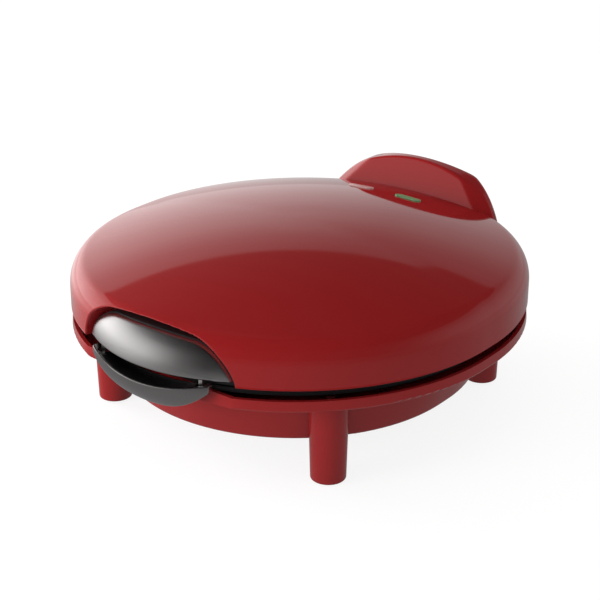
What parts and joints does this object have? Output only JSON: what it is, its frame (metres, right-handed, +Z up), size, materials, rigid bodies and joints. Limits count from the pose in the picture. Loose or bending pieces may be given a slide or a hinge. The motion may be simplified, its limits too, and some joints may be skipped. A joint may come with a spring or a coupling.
{
  "type": "quesadilla maker",
  "caption": "Round countertop quesadilla maker with a glossy domed lid, rear hinge crest, silver grip, latch and wedge-pocket plates.",
  "frame": {"origin": "on the table, under the middle of the outer box", "axes": "+Z up; +Y to the hinge at the rear; -Y to the grip; +X to the right seen from the grip"},
  "size_m": [0.28, 0.3001, 0.1224],
  "materials": {
    "red_gloss": "glossy moulded red",
    "pad_rubber": "matte soft black",
    "steel": "plain satin",
    "black_plate": "satin black non-stick coat on cast aluminium",
    "bright_sheet": "bright rolled sheet",
    "grip_silver": "satin silver grey",
    "latch_grey": "dark grey satin",
    "dark_plastic": "matte black",
    "pale_ceramic": "pale unglazed",
    "pale_lens": "clear pale pink",
    "green_lens": "clear green",
    "lamp_glass": "clear"
  },
  "bodies": {
    "base": {"lower_housing": "red_gloss", "leg_front_right": "red_gloss", "leg_front_left": "red_gloss", "leg_rear_right": "red_gloss", "leg_rear_left": "red_gloss", "foot_pad_front_right": "pad_rubber", "foot_pad_front_left": "pad_rubber", "foot_pad_rear_right": "pad_rubber", "foot_pad_rear_left": "pad_rubber", "leg_screws": "steel", "lower_plate": "black_plate", "lower_heater": "steel", "lower_heat_shield": "bright_sheet", "lower_plate_screws": "steel", "thermostat": "dark_plastic", "thermal_fuse": "pale_ceramic", "fuse_clip": "steel", "terminal_block": "pale_ceramic", "cord_gland": "dark_plastic", "catch": "steel", "hinge_pin_right": "steel", "hinge_pin_left": "steel"},
    "lid": {"upper_housing": "red_gloss", "upper_plate": "black_plate", "upper_heater": "steel", "upper_heat_shield": "bright_sheet", "upper_plate_screws": "steel", "power_lens": "pale_lens", "ready_lens": "green_lens", "lamp_right": "lamp_glass", "lamp_left": "lamp_glass", "lamp_bracket": "dark_plastic", "handle": "grip_silver", "handle_screws": "steel", "latch_pins": "steel"},
    "latch": {"latch": "latch_grey"}
  },
  "joints": [
    {"name": "lid_hinge", "type": "hinge", "parent": "base", "child": "lid", "pos_m": [0, 0.1445, 0.06495], "axis": [-1, 0, 0], "range_deg": [0, 95]},
    {"name": "latch_pivot", "type": "hinge", "parent": "lid", "child": "latch", "pos_m": [0, -0.1374, 0.0635], "axis": [-1, 0, 0], "range_deg": [0, 25]}
  ]
}
